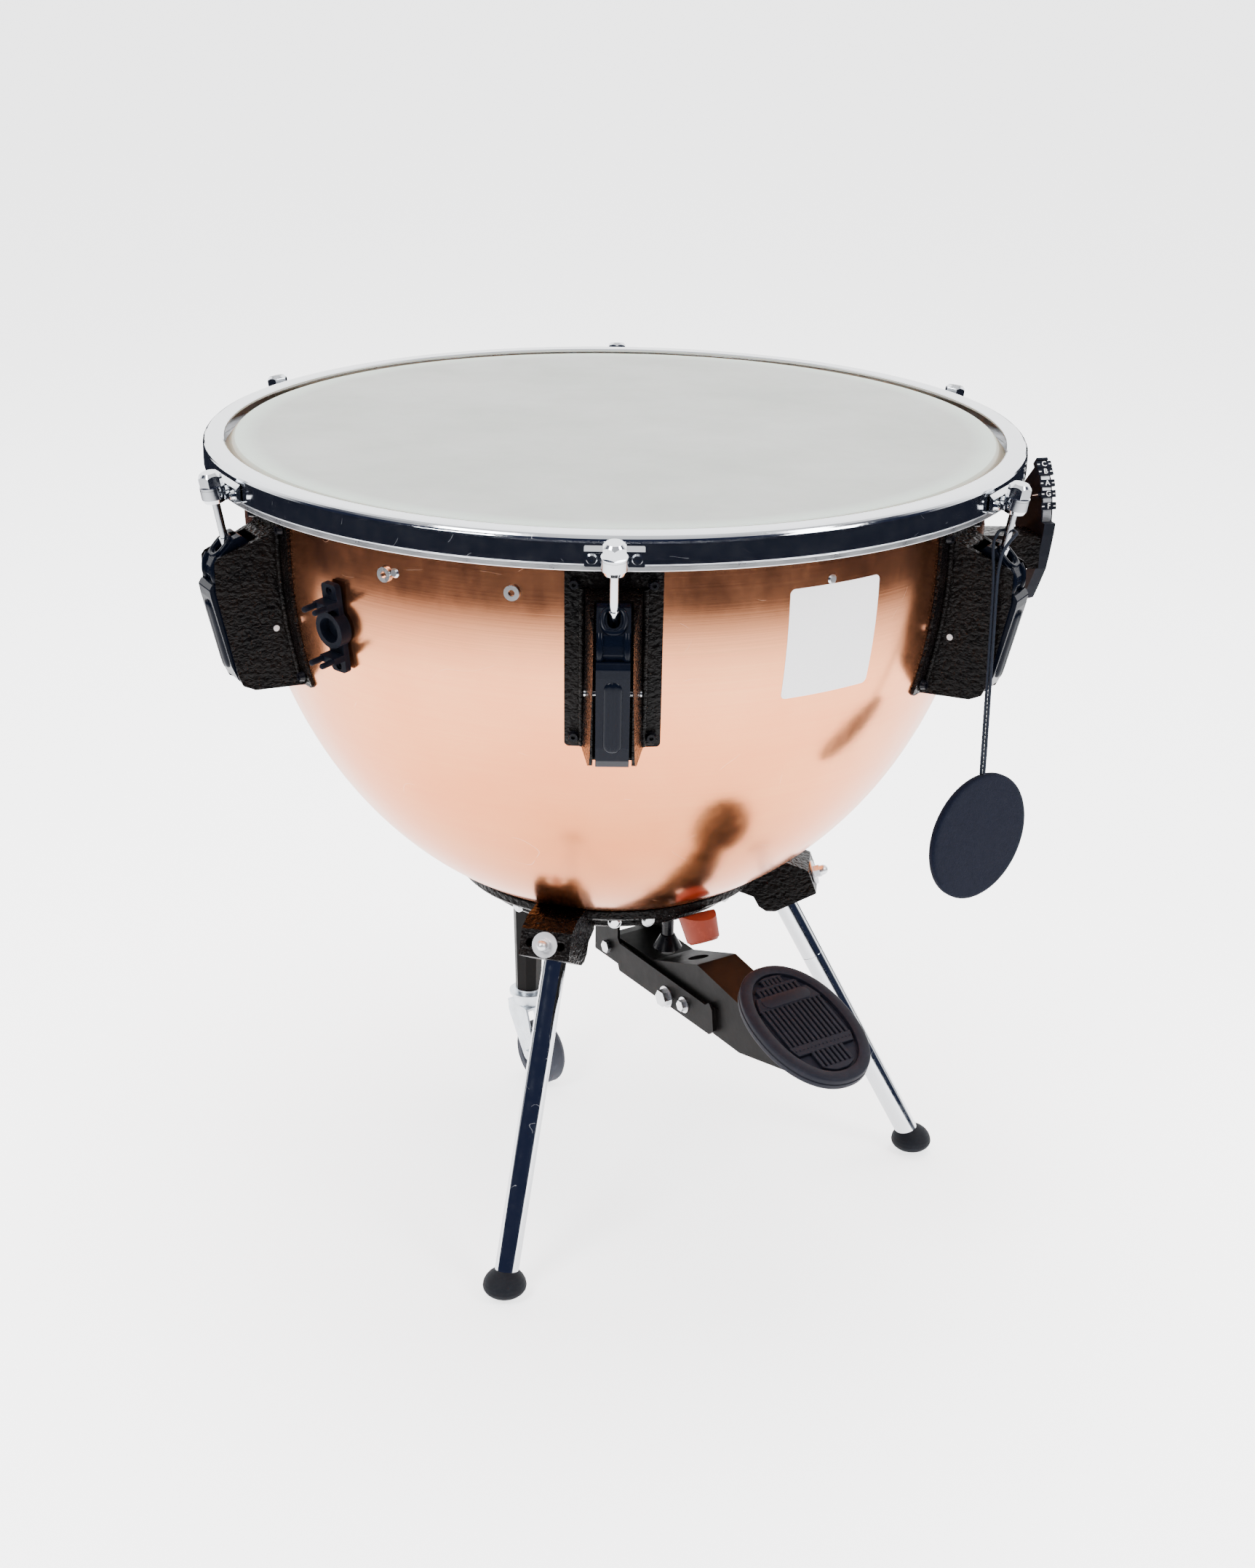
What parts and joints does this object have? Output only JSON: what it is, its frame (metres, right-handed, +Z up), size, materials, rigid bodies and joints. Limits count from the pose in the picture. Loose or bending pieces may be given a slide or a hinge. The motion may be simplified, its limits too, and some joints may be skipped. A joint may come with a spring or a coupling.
{
  "type": "timpani drum",
  "caption": "Pedal timpani: hemispherical copper bowl with tuned plastic head, chrome hoop on arm-drawn rods, two legs, swivel caster, foot pedal, tuning gauge and hanging felt mute.",
  "frame": {"origin": "point on the floor below the bowl's vertical axis", "axes": "+Z up, -Y towards the viewer and the first tension bracket, +X to the viewer's right, with the tuning gauge"},
  "size_m": [0.8504, 0.8748, 0.8071],
  "materials": {
    "copper": "satin",
    "aluminium": "satin",
    "hammertone": "hammered paint",
    "steel": "brushed",
    "black_steel": "satin",
    "inner_metal": "cast",
    "chrome": "polished",
    "film": "matte",
    "black_paint": "satin",
    "pad_rubber": "matte",
    "bumper_rubber": "satin",
    "zinc": "zinc plated",
    "grey_rubber": "matte",
    "black_rubber": "matte",
    "black_plastic": "matte",
    "gloss_black": "gloss",
    "felt": "felt",
    "cord": "braided"
  },
  "bodies": {
    "root": {"bowl": "copper", "bearing_ring": "aluminium", "base_ring": "hammertone", "base_bolts": "steel", "bowl_fittings": "steel", "bracket_1": "hammertone", "bracket_2": "hammertone", "bracket_3": "hammertone", "bracket_4": "hammertone", "bracket_5": "hammertone", "bracket_6": "hammertone", "bracket_screws": "black_steel", "arm_pins": "steel", "guide_post": "steel", "drumhead": "film", "pedal_frame": "black_paint", "pedal_bolts": "steel", "pedal_bumper": "bumper_rubber", "caster_post": "black_paint", "leg_blocks": "hammertone", "leg_clamps": "chrome", "gauge_bracket": "hammertone", "gauge_dial": "black_plastic", "key_holder": "black_plastic"},
    "hoop": {"counterhoop": "chrome", "hoop_claws": "chrome", "claw_screws": "chrome", "flesh_hoop": "aluminium"},
    "linkage": {"spider": "inner_metal", "pull_rod": "black_steel", "link_rods": "steel", "balance_spring": "black_steel"},
    "pedal": {"pedal_lever": "black_paint", "footplate_pad": "pad_rubber"},
    "pointer": {"gauge_pointer": "black_plastic"},
    "leg_left": {"leg_left": "chrome", "foot_left": "black_rubber"},
    "leg_right": {"leg_right": "chrome", "foot_right": "black_rubber"},
    "caster": {"caster_fork": "zinc"},
    "wheel": {"caster_wheel": "grey_rubber"},
    "mute": {"mute_disc": "felt", "mute_cord": "cord"},
    "arm_1": {"tension_arm_1": "gloss_black"},
    "rod_1": {"tension_rod_1": "chrome"},
    "arm_2": {"tension_arm_2": "gloss_black"},
    "rod_2": {"tension_rod_2": "chrome"},
    "arm_3": {"tension_arm_3": "gloss_black"},
    "rod_3": {"tension_rod_3": "chrome"},
    "arm_4": {"tension_arm_4": "gloss_black"},
    "rod_4": {"tension_rod_4": "chrome"},
    "arm_5": {"tension_arm_5": "gloss_black"},
    "rod_5": {"tension_rod_5": "chrome"},
    "arm_6": {"tension_arm_6": "gloss_black"},
    "rod_6": {"tension_rod_6": "chrome"},
    "mark_c": {"marker_c": "black_plastic"},
    "mark_b": {"marker_b": "black_plastic"},
    "mark_a": {"marker_a": "black_plastic"},
    "mark_g": {"marker_g": "black_plastic"},
    "mark_f": {"marker_f": "black_plastic"}
  },
  "joints": [
    {"name": "pedal_swing", "type": "hinge", "parent": "root", "child": "pedal", "pos_m": [0.02396, -0.0369, 0.253], "axis": [0.8387, 0.5446, 0], "range_deg": [-5, 9]},
    {"name": "linkage_slide", "type": "slide", "parent": "root", "child": "linkage", "axis": [0, 0, -1], "range_m": [-0.0064, 0.0112], "deforming": ["balance_spring"]},
    {"name": "hoop_slide", "type": "slide", "parent": "root", "child": "hoop", "axis": [0, 0, -1], "range_m": [-0.0017, 0.0029]},
    {"name": "arm_1_swing", "type": "hinge", "parent": "root", "child": "arm_1", "pos_m": [0, -0.378, 0.657], "axis": [1, 0, 0], "range_deg": [-3, 5]},
    {"name": "rod_1_turn", "type": "hinge", "parent": "hoop", "child": "rod_1", "pos_m": [0, -0.424, 0.791], "axis": [0, -0.1788, 0.9839], "continuous": true},
    {"name": "arm_2_swing", "type": "hinge", "parent": "root", "child": "arm_2", "pos_m": [0.32736, -0.189, 0.657], "axis": [0.5, 0.866, 0], "range_deg": [-3, 5]},
    {"name": "rod_2_turn", "type": "hinge", "parent": "hoop", "child": "rod_2", "pos_m": [0.36719, -0.212, 0.791], "axis": [0.1548, -0.0894, 0.9839], "continuous": true},
    {"name": "arm_3_swing", "type": "hinge", "parent": "root", "child": "arm_3", "pos_m": [0.32736, 0.189, 0.657], "axis": [-0.5, 0.866, 0], "range_deg": [-3, 5]},
    {"name": "rod_3_turn", "type": "hinge", "parent": "hoop", "child": "rod_3", "pos_m": [0.36719, 0.212, 0.791], "axis": [0.1548, 0.0894, 0.9839], "continuous": true},
    {"name": "arm_4_swing", "type": "hinge", "parent": "root", "child": "arm_4", "pos_m": [0, 0.378, 0.657], "axis": [-1, 0, 0], "range_deg": [-3, 5]},
    {"name": "rod_4_turn", "type": "hinge", "parent": "hoop", "child": "rod_4", "pos_m": [0, 0.424, 0.791], "axis": [0, 0.1788, 0.9839], "continuous": true},
    {"name": "arm_5_swing", "type": "hinge", "parent": "root", "child": "arm_5", "pos_m": [-0.32736, 0.189, 0.657], "axis": [-0.5, -0.866, 0], "range_deg": [-3, 5]},
    {"name": "rod_5_turn", "type": "hinge", "parent": "hoop", "child": "rod_5", "pos_m": [-0.36719, 0.212, 0.791], "axis": [-0.1548, 0.0894, 0.9839], "continuous": true},
    {"name": "arm_6_swing", "type": "hinge", "parent": "root", "child": "arm_6", "pos_m": [-0.32736, -0.189, 0.657], "axis": [0.5, -0.866, 0], "range_deg": [-3, 5]},
    {"name": "rod_6_turn", "type": "hinge", "parent": "hoop", "child": "rod_6", "pos_m": [-0.36719, -0.212, 0.791], "axis": [-0.1548, -0.0894, 0.9839], "continuous": true},
    {"name": "pointer_swing", "type": "hinge", "parent": "root", "child": "pointer", "pos_m": [0.4166, 0.0574, 0.72], "axis": [-0.9659, -0.2588, 0], "range_deg": [-15.5, 27.5]},
    {"name": "marker_c_shift", "type": "hinge", "parent": "root", "child": "mark_c", "pos_m": [0.4166, 0.0574, 0.72], "axis": [-0.9659, -0.2588, 0], "range_deg": [0, 1]},
    {"name": "marker_b_shift", "type": "hinge", "parent": "root", "child": "mark_b", "pos_m": [0.4166, 0.0574, 0.72], "axis": [-0.9659, -0.2588, 0], "range_deg": [-1.5, 0.5]},
    {"name": "marker_a_shift", "type": "hinge", "parent": "root", "child": "mark_a", "pos_m": [0.4166, 0.0574, 0.72], "axis": [-0.9659, -0.2588, 0], "range_deg": [-2, 3]},
    {"name": "marker_g_shift", "type": "hinge", "parent": "root", "child": "mark_g", "pos_m": [0.4166, 0.0574, 0.72], "axis": [-0.9659, -0.2588, 0], "range_deg": [-2, 2]},
    {"name": "marker_f_shift", "type": "hinge", "parent": "root", "child": "mark_f", "pos_m": [0.4166, 0.0574, 0.72], "axis": [-0.9659, -0.2588, 0], "range_deg": [-6, 3]},
    {"name": "leg_left_slide", "type": "slide", "parent": "root", "child": "leg_left", "axis": [-0.14, -0.4578, -0.878], "range_m": [0, 0.025]},
    {"name": "leg_right_slide", "type": "slide", "parent": "root", "child": "leg_right", "axis": [0.4751, -0.0583, -0.878], "range_m": [0, 0.025]},
    {"name": "caster_swivel", "type": "hinge", "parent": "root", "child": "caster", "pos_m": [-0.09388, 0.12459, 0.112], "axis": [0, 0, 1], "continuous": true},
    {"name": "wheel_roll", "type": "hinge", "parent": "caster", "child": "wheel", "pos_m": [-0.0786, 0.10355, 0.0375], "axis": [0.809, 0.5878, 0], "continuous": true},
    {"name": "mute_swing", "type": "hinge", "parent": "hoop", "child": "mute", "pos_m": [0.36209, -0.20905, 0.7585], "axis": [-0.5, -0.866, 0], "range_deg": [0, 24]}
  ],
  "couplings": [
    {"joint": "linkage_slide", "follows": "pedal_swing", "m_per_rad": 0.068},
    {"joint": "hoop_slide", "follows": "pedal_swing", "m_per_rad": 0.01734},
    {"joint": "arm_1_swing", "follows": "pedal_swing", "ratio": 0.51},
    {"joint": "arm_2_swing", "follows": "pedal_swing", "ratio": 0.51},
    {"joint": "arm_3_swing", "follows": "pedal_swing", "ratio": 0.51},
    {"joint": "arm_4_swing", "follows": "pedal_swing", "ratio": 0.51},
    {"joint": "arm_5_swing", "follows": "pedal_swing", "ratio": 0.51},
    {"joint": "arm_6_swing", "follows": "pedal_swing", "ratio": 0.51},
    {"joint": "pointer_swing", "follows": "pedal_swing", "ratio": 3}
  ]
}
